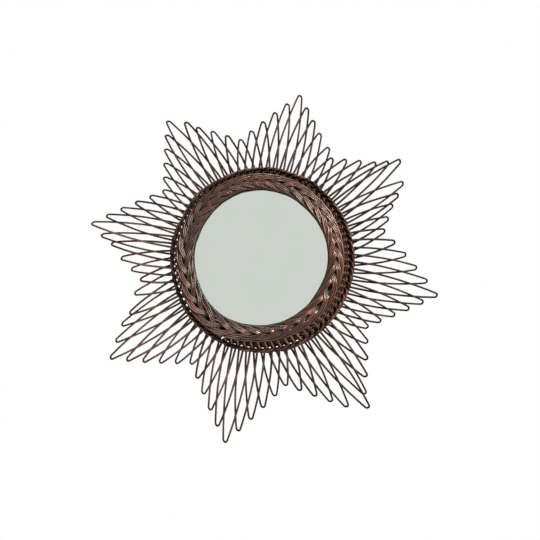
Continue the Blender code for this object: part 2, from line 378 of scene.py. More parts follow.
# Colours deep, middle and warm, then roughness, specular level, coat and bump
POINT_MAT = rod_material("point_rod", (0.008, 0.004, 0.0025), (0.035, 0.0165, 0.0110), (0.120, 0.068, 0.050),
                         0.42, 0.2, 0.0, 0.1)
BORDER_MAT = rod_material("border_rod", (0.004, 0.0014, 0.0008), (0.088, 0.030, 0.0165),
                          (0.320, 0.136, 0.084), 0.22, 0.85, 0.20, 0.04)
BAND_MAT = rod_material("band_rod", (0.005, 0.002, 0.0012), (0.042, 0.0165, 0.009), (0.120, 0.052, 0.029),
                        0.36, 0.3, 0.1, 0.1)
# Stakes: colours paler than the other weaving, painted light for the light the stakes catch
LIT_STAKE_MAT = rod_material("lit_stake_rod", (0.012, 0.005, 0.003), (0.085, 0.037, 0.022), (0.230, 0.110, 0.070),
                         0.32, 0.4, 0.3, 0.1)
ROPE_MAT = rod_material("rope_rod", (0.006, 0.0025, 0.002), (0.056, 0.021, 0.0115), (0.165, 0.068, 0.037),
                        0.34, 0.3, 0.1, 0.1)
# Near-black rods filling gaps under the border and behind the band: painted shade
SHADE_CORE_MAT = rod_material("shade_core_rod", (0.004, 0.002, 0.0012), (0.008, 0.004, 0.0025), (0.016, 0.008, 0.005),
                        0.7, 0.1, 0.0, 0.1)


def mirror_material():
    """Silvering seen through clear glass, with a faint haze."""
    mat, tree, shader = new_material("silvered_glass", 0.02, 0.0, 0.0, 1.0)
    coords = node(tree, "ShaderNodeTexCoord").outputs["Object"]
    noise = node(tree, "ShaderNodeTexNoise")
    noise.inputs["Scale"].default_value = 14.0
    noise.inputs["Detail"].default_value = 4.0
    tree.links.new(coords, noise.inputs["Vector"])
    rough = node(tree, "ShaderNodeMapRange")
    rough.inputs["From Min"].default_value = 0.35
    rough.inputs["From Max"].default_value = 0.75
    rough.inputs["To Min"].default_value = 0.004
    rough.inputs["To Max"].default_value = 0.03
    tree.links.new(noise.outputs["Fac"], rough.inputs["Value"])
    tree.links.new(rough.outputs[0], shader.inputs["Roughness"])
    colours = ramp(tree, ((0.3, (0.90, 0.925, 0.905)), (0.7, (0.93, 0.945, 0.93))))
    tree.links.new(noise.outputs["Fac"], colours.inputs["Fac"])
    tree.links.new(colours.outputs["Color"], shader.inputs["Base Color"])
    return mat


def edge_material():
    """Ground green edge of the glass."""
    mat, tree, shader = new_material("glass_edge", 0.35)
    coords = node(tree, "ShaderNodeTexCoord").outputs["Object"]
    noise = node(tree, "ShaderNodeTexNoise")
    noise.inputs["Scale"].default_value = 900.0
    noise.inputs["Detail"].default_value = 3.0
    tree.links.new(coords, noise.inputs["Vector"])
    colours = ramp(tree, ((0.3, (0.16, 0.27, 0.22)), (0.7, (0.30, 0.42, 0.36))))
    tree.links.new(noise.outputs["Fac"], colours.inputs["Fac"])
    tree.links.new(colours.outputs["Color"], shader.inputs["Base Color"])
    relief = node(tree, "ShaderNodeBump")
    relief.inputs["Strength"].default_value = 0.4
    relief.inputs["Distance"].default_value = 0.0001
    tree.links.new(noise.outputs["Fac"], relief.inputs["Height"])
    tree.links.new(relief.outputs["Normal"], shader.inputs["Normal"])
    return mat


def board_material():
    """Brown hardboard, fibrous, with a fine mesh print on its back."""
    mat, tree, shader = new_material("hardboard", 0.72)
    coords = node(tree, "ShaderNodeTexCoord").outputs["Object"]
    fibre = node(tree, "ShaderNodeTexNoise")
    fibre.inputs["Scale"].default_value = 260.0
    fibre.inputs["Detail"].default_value = 6.0
    fibre.inputs["Distortion"].default_value = 1.5
    tree.links.new(coords, fibre.inputs["Vector"])
    cloud = node(tree, "ShaderNodeTexNoise")
    cloud.inputs["Scale"].default_value = 18.0
    tree.links.new(coords, cloud.inputs["Vector"])
    mixed = math_node(tree, "ADD", math_node(tree, "MULTIPLY", fibre.outputs["Fac"], 0.7),
                      math_node(tree, "MULTIPLY", cloud.outputs["Fac"], 0.3))
    colours = ramp(tree, ((0.35, (0.13, 0.075, 0.042)), (0.5, (0.22, 0.135, 0.078)),
                          (0.68, (0.33, 0.22, 0.14))))
    tree.links.new(mixed, colours.inputs["Fac"])
    tree.links.new(colours.outputs["Color"], shader.inputs["Base Color"])
    print_scale = node(tree, "ShaderNodeMapping")
    print_scale.inputs["Scale"].default_value = (1300.0, 1300.0, 1300.0)
    tree.links.new(coords, print_scale.inputs["Vector"])
    checks = node(tree, "ShaderNodeTexVoronoi")
    checks.inputs["Scale"].default_value = 1.0
    checks.inputs["Randomness"].default_value = 0.15
    tree.links.new(print_scale.outputs["Vector"], checks.inputs["Vector"])
    height = math_node(tree, "ADD", checks.outputs["Distance"], fibre.outputs["Fac"])
    relief = node(tree, "ShaderNodeBump")
    relief.inputs["Strength"].default_value = 0.5
    relief.inputs["Distance"].default_value = 0.0003
    tree.links.new(height, relief.inputs["Height"])
    tree.links.new(relief.outputs["Normal"], shader.inputs["Normal"])
    return mat


# Rods of the star points

def stake_deg(index):
    """Clock angle of a pair of stakes."""
    span = SPAN_IN_STAKES * PITCH_DEG
    return FIRST_VALLEY_DEG + BASE_LEAD_DEG - span / 2 + index * PITCH_DEG


def tip_of(index):
    """Clock angle and reach of one hairpin's tip."""
    point = (index // RODS_PER_POINT) % POINT_COUNT
    step = index % RODS_PER_POINT
    half = RODS_PER_POINT / 2
    share = 1.0 - abs(step - half) / half
    valley = (point + (1 if step > half else 0)) % POINT_COUNT
    low = VALLEY_REACH + VALLEY_EXTRA[valley]
    high = POINT_REACH + POINT_EXTRA[point]
    reach = low + (high - low) * share ** REACH_POWER
    nominal = FIRST_VALLEY_DEG + index * PITCH_DEG
    gather = GATHER_DEG * math.sin(2 * math.pi * step / RODS_PER_POINT)
    turn = VALLEY_TURN_DEG[valley] + (POINT_TURN_DEG[point] - VALLEY_TURN_DEG[valley]) * share
    return nominal + gather + turn + STRAY_DEG.get(index % STAKE_COUNT, 0.0), reach


def layer_y(radius, side):
    """Depth of the front (side -1) or back (side 1) layer of rods at a radius."""
    lean = min(max((radius - ROPE_OUTER_RADIUS) / (POINT_REACH - ROPE_OUTER_RADIUS), 0.0), 1.0)
    return ROPE_Y + (-TIP_STANDOFF - ROPE_Y) * lean + side * LAYER_SPREAD / 2


def flat(deg, radius):
    """In-plane position of a clock angle and radius."""
    turn = math.radians(deg)
    return Vector((radius * math.sin(turn), radius * math.cos(turn)))


def leg(base, shoulder, bow, wave):
    """Points of a leg bowed into a shallow arc, with a slight waver."""
    chord = shoulder - base
    normal = Vector((chord.y, -chord.x)).normalized()
    rise = chord.length / 2 * math.tan(math.radians(abs(bow)) / 2) * math.copysign(1.0, bow)
    found = []
    for i in range(LEG_STEPS + 1):
        t = i / LEG_STEPS
        waver = wave[0] * math.sin(math.pi * t) * math.sin(wave[1] + wave[2] * t)
        found.append(base + chord * t + normal * (4 * rise * t * (1 - t) + waver))
    return found


def star_rods(number):
    """Ten hairpin rods of one point."""
    bundle = Bundle()
    for step in range(RODS_PER_POINT):
        index = number * RODS_PER_POINT + step
        left_deg = stake_deg(index) + PAIR_HALF_DEG
        right_deg = stake_deg(index + SPAN_IN_STAKES) - PAIR_HALF_DEG
        tip_deg, reach = tip_of(index)
        tip = flat(tip_deg, reach - ROD_RADIUS)
        bases = (flat(left_deg, LEG_START_RADIUS), flat(right_deg, LEG_START_RADIUS))
        axis = (tip - (flat(left_deg, LEFT_AIM_RADIUS) + flat(right_deg, RIGHT_AIM_RADIUS)) / 2).normalized()
        side = Vector((axis.y, -axis.x))
        centre = tip - axis * HAIRPIN_RADIUS
        leans = []
        ends = []
        for hand, base in zip((-1, 1), bases):
            chord = centre + side * (hand * HAIRPIN_RADIUS) - base
            lean = math.atan2(-hand * chord.dot(side), chord.dot(axis)) + math.radians(LEG_BOW_DEG)
            out = math.pi / 2 - lean
            leans.append(out)
            ends.append(centre + (axis * math.cos(out) + side * (hand * math.sin(out))) * HAIRPIN_RADIUS)
        path = []
        for spot in leg(bases[0], ends[0], -LEG_BOW_DEG, waver_of()):
            path.append((spot, -1.0))
        for i in range(1, TIP_STEPS):
            turn = -leans[0] + (leans[0] + leans[1]) * i / TIP_STEPS
            spot = centre + (axis * math.cos(turn) + side * math.sin(turn)) * HAIRPIN_RADIUS
            path.append((spot, math.sin(math.pi * (i / TIP_STEPS - 0.5))))
        for spot in reversed(leg(bases[1], ends[1], LEG_BOW_DEG, waver_of())):
            path.append((spot, 1.0))
        points = []
        darks = []
        radii = []
        thick = ROD_RADIUS * random.uniform(0.93, 1.06)
        for spot, hand in path:
            points.append((spot.x, layer_y(spot.length, hand), CENTRE_Z + spot.y))
            near_tip = smooth_step(TIP_STAIN_REACH, 0.0, (spot - tip).length)
            near_foot = smooth_step(*FOOT_STAIN_RADII, spot.length)
            darks.append(max(TIP_STAIN * near_tip, FOOT_STAIN * near_foot))
            taper = LEG_TAPER * smooth_step(*LEG_TAPER_RADII, spot.length)
            radii.append(thick * (LEG_FOOT_SWELL - taper - TIP_TAPER * near_tip))
        # painted light: the leg's tone is raised or lowered by its clock angle
        washed = WASHED_SIDE * math.cos(math.radians(tip_deg - WASHED_DEG))
        bundle.rod(points, radii, 10, False, random.uniform(0.3, 0.7) + washed, darks)
    name = "star_point_%d" % (number + 1)
    return bundle.build("star_rods_%d" % (number + 1), POINT_MAT, (name,))


def waver_of():
    """Random waver of a leg."""
    return random.uniform(-LEG_WAVER, LEG_WAVER), random.uniform(0, 6.28), random.uniform(4.0, 9.0)


# Rope at the foot, band of stakes and its twined rows

# The rope isn't even: clock angle and radius of its middle
ROPE_RUN = (
    (0, 0.1363), (10, 0.1368), (20, 0.1350), (33, 0.1372), (42, 0.1352), (60, 0.1350), (80, 0.1349),
    (90, 0.1347), (110, 0.1344), (130, 0.1348), (145, 0.1362), (165, 0.1364), (180, 0.1356), (200, 0.1353),
    (220, 0.1349), (235, 0.1344), (245, 0.1328), (255, 0.1324), (265, 0.1331), (275, 0.1342), (288, 0.1340),
    (297, 0.1325), (308, 0.1348), (317, 0.1370), (326, 0.1347), (340, 0.1348), (350, 0.1360))
# Core of the rope: twisted strands and one straight rod, each as radius of its rod and place off the
# rope's middle, outward and back
CORE_STRANDS = 3
CORE_STEPS = 4
CORE_STRAND = (0.0013, -0.0003, 0.0026)
CORE_TWIST = (0.0011, 0.0006)
CORE_ROD = (0.0012, -0.0016, 0.0034)


def run_at(table, column, deg):
    """Smooth value of a run round the circle."""
    angles = [row[0] for row in table]
    angles.append(360.0 + angles[0])
    values = [row[column] for row in table]
    values.append(values[0])
    deg %= 360.0
    k = max(i for i in range(len(table)) if angles[i] <= deg)
    t = (deg - angles[k]) / (angles[k + 1] - angles[k])
    t = t * t * (3 - 2 * t)
    return values[k] + (values[k + 1] - values[k]) * t


def foot_rope():
    """Tails of the rods, each lying over three stakes and sloping outward clockwise, over a twisted core."""
    bundle = Bundle()
    count = STAKE_COUNT * CORE_STEPS
    thick, out, back = CORE_STRAND
    for strand in range(CORE_STRANDS):
        points = []
        for k in range(count):
            deg = 360.0 * k / count
            twist = 2 * math.pi * (k / (2 * CORE_STEPS) + strand / CORE_STRANDS)
            radius = run_at(ROPE_RUN, 1, deg) + out + CORE_TWIST[0] * math.cos(twist)
            points.append(place(deg, radius, TAIL_Y + back + CORE_TWIST[1] * math.sin(twist)))
        # the core is darkened all along: painted shade under the tails
        bundle.rod(points, thick, 8, True, 0.0, np.ones(count))
    thick, out, back = CORE_ROD
    points = [place(2.0 * k, run_at(ROPE_RUN, 1, 2.0 * k) + out, TAIL_Y + back) for k in range(180)]
    bundle.rod(points, thick, 8, True, 0.0, np.ones(len(points)))
    first, last = TAIL_DIVE_SHARES
    for i in range(STAKE_COUNT):
        start = stake_deg(i) + random.uniform(-0.4, 0.4)
        length = random.uniform(1.8, 2.2) * PITCH_DEG
        points = []
        swell = random.uniform(-0.0003, 0.0005)
        reach = random.uniform(0.85, 1.15)
        dark = []
        for k in range(TAIL_STEPS + 1):
            t = k / TAIL_STEPS
            deg = start + length * t
            radius = run_at(ROPE_RUN, 1, deg) + reach * ROPE_SWING * (2 * smooth_step(0.0, 1.0, t) - 1)
            radius += swell * math.sin(math.pi * t)
            dip = TAIL_DIVE * smooth_step(first, 0.0, t) + TAIL_DIVE * smooth_step(last, 1.0, t)
            points.append(place(deg, radius, TAIL_Y + dip + TAIL_SLOPE * t))
            # painted shade where the tail dives under
            dark.append(TAIL_END_SHADE * max(smooth_step(0.3, 0.0, t), smooth_step(0.7, 1.0, t)))
        bundle.rod(points, TAIL_RADIUS * random.uniform(0.9, 1.12), 8, False, random.uniform(0.1, 0.95), dark)
    return bundle.build("foot_rope", ROPE_MAT, ())


STAKE_FOOT = (0.1330, -0.0085)
STAKE_HEAD = (0.1125, -0.0262)
# Lean of the stakes: clock angle and how far the head lies clockwise of the foot
STAKE_LEAN = (
    (0, 0.0), (60, 0.3), (110, 1.0), (150, 2.0), (190, 2.4), (230, 2.0), (262, 1.8), (285, 0.0), (305, -1.6),
    (325, -1.2), (345, 0.0))
# Between these clock angles one rod of each pair runs over the twined rows and is paler, a painted highlight
RAISED_STAKES = (152.0, 207.0)
RAISED_BULGE = 0.0042
RAISED_HIGHLIGHT_TONE = 1.3
PLAIN_BULGE = 0.0006
STAKE_STEPS = 8
# Half the gap of a pair, at its foot and lost at its head
STAKE_HALF_DEG = 0.50
STAKE_CLOSING_DEG = 0.04
# Share of the way at which a leaning stake stays in place
STAKE_PIVOT = 0.2
# Twined rows: share of the way from the rope to the border, first stake and count of stakes
TWINED_ROWS = ((0.36, 0, STAKE_COUNT), (0.58, 6, 60))
TWINE_STEPS = 8
# A weaver swings along and off the band, and its row drifts along it
TWINE_SWING = 0.07
TWINE_LIFT = 0.0024
TWINE_DRIFT = 0.03
# Plain near-black rods packed behind the stakes, painted shade: where each run starts and ends, and its
# shares of the way
CLOSE_ROWS = (-0.04, 0.08, 0.20, 0.32, 0.44, 0.56, 0.68)
OPEN_ROWS = (0.10, 0.22, 0.35, 0.48, 0.60, 0.71)
PACKED_RUNS = ((322.0, 512.0, CLOSE_ROWS), (206.0, 229.0, CLOSE_ROWS), (152.0, 205.0, OPEN_ROWS))
PACKING_STEP_DEG = 1.5
PACKING_DRIFT = 0.022


def band_at(along, lift):
    """Radius and depth at a share of the way from the foot to the border, lifted off the band."""
    run_r = STAKE_HEAD[0] - STAKE_FOOT[0]
    run_y = STAKE_HEAD[1] - STAKE_FOOT[1]
    size = math.hypot(run_r, run_y)
    out_r, out_y = -run_y / size, run_r / size
    return STAKE_FOOT[0] + run_r * along + out_r * lift, STAKE_FOOT[1] + run_y * along + out_y * lift


def band_stakes():
    """Pairs of rods from the rope to the border."""
    bundle = Bundle()
    for i in range(STAKE_COUNT):
        shift = random.uniform(-0.25, 0.25)
        lean = run_at(STAKE_LEAN, 1, stake_deg(i)) + random.uniform(-0.2, 0.2)
        for hand in (-1, 1):
            points = []
            raised = hand < 0 and RAISED_STAKES[0] < stake_deg(i) < RAISED_STAKES[1]
            for k in range(STAKE_STEPS + 1):
                t = k / STAKE_STEPS
                bulge = (RAISED_BULGE if raised else PLAIN_BULGE) * math.sin(math.pi * t) ** 0.7
                radius, y = band_at(t, bulge)
                half = STAKE_HALF_DEG - STAKE_CLOSING_DEG * t
                points.append(place(stake_deg(i) + shift + lean * (t - STAKE_PIVOT) + hand * half, radius, y))
            # painted highlight on the raised stakes
            tone = RAISED_HIGHLIGHT_TONE if raised else random.uniform(0.3, 1.0)
            bundle.rod(points, STAKE_ROD_RADIUS, 8, False, tone)
    return bundle.build("band_stakes", LIT_STAKE_MAT, ("stake_band",))


def band_twining():
    """Two twined rows of two weavers each, round the pairs of stakes."""
    bundle = Bundle()
    for row, (along, first, count) in enumerate(TWINED_ROWS):
        closed = count == STAKE_COUNT
        for weaver in range(2):
            points = []
            for k in range(count * TWINE_STEPS):
                stake = first + k / TWINE_STEPS
                deg = stake_deg(stake)
                turn = math.pi * (stake + weaver + row)
                drift = TWINE_DRIFT * math.sin(math.radians(deg) * 9 + row * 2.0)
                radius, y = band_at(along + TWINE_SWING * math.sin(turn) + drift, TWINE_LIFT * math.cos(turn))
                lean = run_at(STAKE_LEAN, 1, deg) * (along - STAKE_PIVOT)
                points.append(place(deg + lean, radius, y))
            bundle.rod(points, TWINE_RADIUS, 8, closed, 0.1 + 0.3 * weaver)
    return bundle.build("band_twining", BAND_MAT, ("band_weaver",))


def band_packing():
    """Plain rods laid behind the stakes where the band is close, near-black as painted shade."""
    bundle = Bundle()
    for first, last, shares in PACKED_RUNS:
        count = int((last - first) / PACKING_STEP_DEG)
        for row, along in enumerate(shares):
            points = []
            shift = random.uniform(-1.5, 1.5)
            for k in range(count + 1):
                deg = first + shift + (last - first) * k / count
                radius, y = band_at(along + PACKING_DRIFT * math.sin(deg * 0.37 + row), PACKING_LIFT)
                points.append(place(deg, radius, y))
            bundle.rod(points, PACKING_RADIUS, 8, False, random.uniform(0.0, 0.3))
    return bundle.build("band_packing", SHADE_CORE_MAT, ())


# Plaited border

# Clock angles at which the lobes of each half come up at the midline
INNER_STARTS = (
    1.3, 10.4, 22.9, 36.0, 46.9, 56.9, 66.6, 76.6, 87.0, 98.0, 109.3, 124.0, 137.6, 148.6, 160.5, 170.2,
    181.0, 191.5, 203.5, 216.0, 228.5, 240.0, 251.0, 262.5, 274.0, 285.5, 294.0, 304.5, 315.0, 325.0, 334.5,
    343.5, 352.5)
OUTER_STARTS = (
    -2.1, 7.9, 18.8, 31.9, 44.4, 53.8, 63.5, 74.1, 86.0, 96.0, 106.6, 121.6, 136.3, 146.9, 158.8, 168.0,
    178.0, 189.0, 200.0, 212.5, 226.0, 236.5, 247.5, 258.5, 270.5, 282.5, 291.0, 301.5, 312.0, 321.5, 331.5,
    340.5, 349.0)
# Along a lobe, in degrees from its start: distance of its middle from the midline, half its width and its
# sink below the crest
LOBE_AGE = (-11.0, -7.0, -3.0, 0.0, 1.5, 4.0, 8.0, 12.5, 16.0, 23.0, 31.0, 36.0)
LOBE_OUT = (-0.0072, -0.0050, -0.0022, 0.0006, 0.0022, 0.0047, 0.0070, 0.0083, 0.0088, 0.0093, 0.0090, 0.0080)
LOBE_HALF = (0.0018, 0.0018, 0.0019, 0.0020, 0.0021, 0.0023, 0.0025, 0.0025, 0.0023, 0.0020, 0.0017, 0.0015)
LOBE_SINK = (0.0062, 0.0050, 0.0038, 0.0022, 0.0010, 0.0003, 0.0012, 0.0025, 0.0033, 0.0046, 0.0058, 0.0066)
LOBE_STEPS = 36
# How far every second rod sinks in, and the ages over which it does
LOBE_PACK = 0.0011
LOBE_PACK_AGES = (5.0, 15.0)
# Slope of a lobe to the midline: greatest extra slope, its age and width, and the slope elsewhere
LOBE_SLOPE = (0.50, 1.5, 6.5, 0.03)
# Radius at which a shift along the border is turned into degrees
LOBE_RADIUS = 0.108
LOBE_WAVER = 0.00012
# How much the rods thin along a lobe, and the ages over which they do
LOBE_TAPER = 0.22
LOBE_TAPER_AGES = (14.0, 38.0)
# Painted shade between the rods of a lobe and on its edges, where it lies against its neighbours, where it
# comes up from under the other half and where it goes under
GROOVE_SHADE = 1.0
EDGE_SHADE = 2.0
RISE_SHADE = 1.1
RISE_SHADE_AGES = (1.0, -3.5)
DIVE_SHADE = 0.8
DIVE_SHADE_AGES = (11.5, 27.0)
# Painted light: the border is paler towards this clock angle, the side the key light comes from, and darker
# on the far side
LIT_SIDE = 0.15
LIT_DEG = 70.0
# Painted highlight: the outer lobes are palest where the border bulges
BULGE_DEG = 222.0
BULGE_WIDTH_DEG = 24.0
BULGE_HIGHLIGHT = 0.32
# Painted highlight on the sharp bends where the inner lobes come up, between these clock angles: amount, age
# and width
GLINT_BENDS = (94.0, 185.0)
GLINT = (1.7, 0.8, 1.2)
# Near-black rods under the midline, painted shade in the gaps: places across it, depth below the crest and
# radius
BORDER_CORE_OFFSETS = (-0.0027, 0.0, 0.0027)
BORDER_CORE_SINK = 0.0056
BORDER_CORE_RADIUS = 0.0014
# The border isn't even: clock angle, midline radius, reach of the inner and of the outer half
BORDER_RUN = (
    (0, 0.1098, 0.79, 1.03), (20, 0.1092, 0.87, 1.02), (45, 0.1071, 0.90, 0.93), (70, 0.1071, 0.84, 0.91),
    (90, 0.1065, 0.81, 0.97), (120, 0.1055, 0.90, 1.07), (140, 0.1058, 0.78, 1.08),
    (165, 0.1071, 0.76, 1.05), (185, 0.1085, 0.82, 0.97), (200, 0.1112, 0.98, 0.98),
    (210, 0.1140, 1.20, 1.08), (220, 0.1139, 1.18, 1.10), (230, 0.1131, 1.18, 1.10),
    (240, 0.1114, 1.13, 1.00), (250, 0.1092, 0.96, 1.00), (260, 0.1085, 0.91, 1.06),
    (270, 0.1091, 0.96, 1.02), (290, 0.1089, 1.00, 1.00), (310, 0.1092, 1.02, 0.97),
    (330, 0.1106, 0.97, 0.87), (345, 0.1108, 0.87, 0.90))


def border_lobe(bundle, start, hand):
    """One lobe of parallel rods, from the midline clockwise to the inner (-1) or outer (1) edge."""
    ages = np.linspace(LOBE_AGE[0], LOBE_AGE[-1], LOBE_STEPS)
    fine = np.linspace(LOBE_AGE[0] - 3, LOBE_AGE[-1] + 3, 200)
    kernel = np.exp(-np.linspace(-2, 2, 13) ** 2)
    kernel /= kernel.sum()
    rows = [np.pad(np.interp(fine, LOBE_AGE, row), 6, "edge") for row in (LOBE_OUT, LOBE_HALF, LOBE_SINK)]
    out, half, sink = (np.interp(ages, fine, np.convolve(row, kernel, "valid")) for row in rows)
    reach = random.uniform(0.97, 1.03)
    swell = random.uniform(0.93, 1.05)
    # painted light and shade by clock angle
    lobe_tone = random.uniform(0.36, 0.64) + LIT_SIDE * math.cos(math.radians(start - LIT_DEG))
    # painted highlight on the outer lobes of the bulge
    if hand > 0:
        lobe_tone += BULGE_HIGHLIGHT * math.exp(-((start - BULGE_DEG) / BULGE_WIDTH_DEG) ** 2)
    steep, steep_age, steep_width, plain = LOBE_SLOPE
    glint, glint_age, glint_width = GLINT
    for rod in range(BORDER_RODS):
        across = 2.0 * rod / (BORDER_RODS - 1) - 1.0
        waver, turn = random.uniform(-LOBE_WAVER, LOBE_WAVER), random.uniform(0, 6.28)
        points = []
        for age, o, h, d in zip(ages, out, half, sink):
            deg = start + age
            slope = math.atan(steep * math.exp(-((age - steep_age) / steep_width) ** 2) + plain)
            middle = o * reach * run_at(BORDER_RUN, 2 if hand < 0 else 3, deg)
            span = middle + across * h * swell * math.cos(slope)
            side_deg = math.degrees(across * h * math.sin(slope) / LOBE_RADIUS)
            radius = run_at(BORDER_RUN, 1, deg) + hand * (span + waver * math.sin(turn + age * 0.3))
            packed = (rod % 2) * LOBE_PACK * smooth_step(*LOBE_PACK_AGES, age)
            points.append(place(deg - side_deg, radius, BORDER_CREST_Y + d + packed))
        thick = BORDER_ROD_RADIUS * random.uniform(0.93, 1.05)
        thin = [thick * (1.0 - LOBE_TAPER * smooth_step(*LOBE_TAPER_AGES, age)) for age in ages]
        # painted shade where the lobe comes up from under and where it goes under
        rise = [RISE_SHADE * smooth_step(*RISE_SHADE_AGES, age) for age in ages]
        dive = [DIVE_SHADE * smooth_step(*DIVE_SHADE_AGES, age) for age in ages]
        darks = [one + other for one, other in zip(rise, dive)]
        # painted highlight: the middle rod is lightened just after it comes up
        if hand < 0 and rod == 1 and GLINT_BENDS[0] < start < GLINT_BENDS[1]:
            darks = [dark - glint * math.exp(-((age - glint_age) / glint_width) ** 2)
                     for dark, age in zip(darks, ages)]
        # painted shade on the sides of the rods, strongest on the lobe's edges
        near, far = (EDGE_SHADE if rod == end else GROOVE_SHADE for end in (0, BORDER_RODS - 1))
        grooves = (near, far) if hand < 0 else (far, near)
        bundle.rod(points, thin, 12, False, lobe_tone + random.uniform(-0.12, 0.12), darks, 1.0, grooves)


def border_core():
    """Near-black rods hidden under the midline: painted shade in the gaps between the lobes."""
    bundle = Bundle()
    y = BORDER_CREST_Y + BORDER_CORE_SINK
    for off in BORDER_CORE_OFFSETS:
        points = [place(2.0 * k, run_at(BORDER_RUN, 1, 2.0 * k) + off, y) for k in range(180)]
        bundle.rod(points, BORDER_CORE_RADIUS, 8, True, 0.0, np.ones(180))
    return bundle.build("border_core", SHADE_CORE_MAT, ())


def border_strand(number):
    """Every third lobe of both halves."""
    bundle = Bundle()
    for starts, hand in ((INNER_STARTS, -1), (OUTER_STARTS, 1)):
        for start in starts[number::3]:
            border_lobe(bundle, start, hand)
    name = "plait_strand_%d" % (number + 1)
    return bundle.build("border_rods_%d" % (number + 1), BORDER_MAT, (name,))


# Foot hoop, glass, board and hanging bar

def lathe(name, profile, sides, mats, mat_of, replaces):
    """Flat shaded turned body about the glass axis, from (radius, y) corners. Radius 0 closes it."""
    verts = []
    for radius, y in profile:
        for i in range(sides):
            verts.append(tuple(place(360.0 * i / sides, max(radius, 1e-5), y)))
    faces = []
    picks = []
    for j in range(len(profile) - 1):
        for i in range(sides):
            k = (i + 1) % sides
            faces.append((j * sides + i, j * sides + k, (j + 1) * sides + k, (j + 1) * sides + i))
            picks.append(mat_of(j))
    mesh = bpy.data.meshes.new(name)
    mesh.from_pydata(verts, [], faces)
    mesh.polygons.foreach_set("material_index", picks)
    mesh.polygons.foreach_set("use_smooth", np.zeros(len(faces), bool))
    bm = bmesh.new()
    bm.from_mesh(mesh)
    bmesh.ops.remove_doubles(bm, verts=bm.verts, dist=0.00003)
    bmesh.ops.recalc_face_normals(bm, faces=bm.faces)
    bm.to_mesh(mesh)
    bm.free()
    return finish_piece(name, mesh, mats, replaces)


def foot_hoop():
    """Hoop wound closely with split rod."""
    bundle = Bundle()
    count = WINDING_TURNS * WINDING_STEPS
    points = []
    for k in range(count):
        angle = 2 * math.pi * k / WINDING_STEPS
        ca, sa = math.cos(angle), math.sin(angle)
        wide = math.copysign(abs(ca) ** HOOP_ROUNDING, ca) * HOOP_HALF_WIDTH
        deep = math.copysign(abs(sa) ** HOOP_ROUNDING, sa) * HOOP_HALF_DEPTH
        points.append(place(360.0 * k / count, HOOP_RADIUS + wide, -FOOT_DEPTH / 2 + deep))
    core = [place(360.0 * k / 160, HOOP_RADIUS, -FOOT_DEPTH / 2) for k in range(160)]
    bundle.rod(core, HOOP_HALF_WIDTH * 0.93, 12, True, 0.2, None, HOOP_HALF_DEPTH / HOOP_HALF_WIDTH)
    wind(bundle, points)
    return bundle.build("foot_hoop", BAND_MAT, ("foot_ring",))


def wind(bundle, points):
    """Flat split rod wound round the hoop through points, its flat side to the hoop."""
    pts = np.array(points)
    count = len(pts)
    width, depth = WINDING_HALF_WIDTH, WINDING_HALF_DEPTH
    tangent = np.roll(pts, -1, 0) - np.roll(pts, 1, 0)
    tangent /= np.linalg.norm(tangent, axis=1)[:, None]
    angle = np.arctan2(pts[:, 0], pts[:, 2] - CENTRE_Z)
    core = np.stack([HOOP_RADIUS * np.sin(angle), np.full(count, -FOOT_DEPTH / 2),
                     CENTRE_Z + HOOP_RADIUS * np.cos(angle)], 1)
    up = pts - core
    up -= tangent * np.sum(up * tangent, 1)[:, None]
    up /= np.linalg.norm(up, axis=1)[:, None]
    side = np.cross(tangent, up)
    section = ((-width, -depth), (-width * 0.8, depth * 0.6), (0.0, depth), (width * 0.8, depth * 0.6),
               (width, -depth))
    steps = np.linalg.norm(np.diff(pts, axis=0), axis=1)
    along = np.concatenate([[0.0], np.cumsum(steps)])
    for across, rise in section:
        bundle.verts.append(pts + side * across + up * rise)
        bundle.grain.append(np.stack([np.full(count, across), np.full(count, rise), along], 1))
        tones = 0.45 + 0.4 * np.sin(along * 31.0) * np.sin(along * 7.3)
        bundle.tone.append(np.stack([tones, np.zeros(count), np.zeros(count)], 1))
    bundle.skin(len(section), count, True)


GLASS_CHAMFER = 0.0006
BOARD_CHAMFER = 0.0005


def disc_profile(name, cut):
    """Chamfered profile of the disc that a solid stands for."""
    low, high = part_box(name)
    radius = (high[0] - low[0]) / 2
    front, back = low[1], high[1]
    return ((0.0, front), (radius - cut, front), (radius, front + cut), (radius, back - cut),
            (radius - cut, back), (0.0, back))


def mirror_plate():
    """Float glass with ground chamfered edges, silvered."""
    return lathe("mirror_plate", disc_profile("mirror_glass", GLASS_CHAMFER), 128,
                 (mirror_material(), edge_material()), lambda j: 0 if j == 0 else 1,
                 ("mirror_glass",))


def back_board():
    """Hardboard disc with softened edges."""
    return lathe("back_board", disc_profile("backing_board", BOARD_CHAMFER), 128, (board_material(),),
                 lambda j: 0, ("backing_board",))


# Hanging bar: how far its rounded ends start inside the solid's, and its depth as a share of its height
BAR_END = 0.001
BAR_SQUASH = 0.75
# Lashings: place inside the bar's end, reach past bar and hoop, turns, steps to a turn, length along the bar,
# lean of a turn, half depth and radius of the rod
LASHING_INSET = 0.0035
LASHING_REACH = 0.0042
LASHING_TURNS = 5
LASHING_STEPS = 16
LASHING_LENGTH = 0.0085
LASHING_LEAN = 0.0022
LASHING_HALF_DEPTH = 0.002501
LASHING_RADIUS = 0.00055


def nail_bar():
    """Round rod over the nail, its ends lashed to the hoop."""
    low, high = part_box("hanging_bar")
    bundle = Bundle()
    y = (low[1] + high[1]) / 2
    z = (low[2] + high[2]) / 2
    start, length = low[0] + BAR_END, high[0] - low[0] - 2 * BAR_END
    points = [(start + length * k / 12, y, z) for k in range(13)]
    bundle.rod(points, (high[2] - low[2]) / 2 * 0.97, 14, False, 0.6, None, BAR_SQUASH)
    return bundle.build("nail_bar", BAND_MAT, ("hanging_bar",))


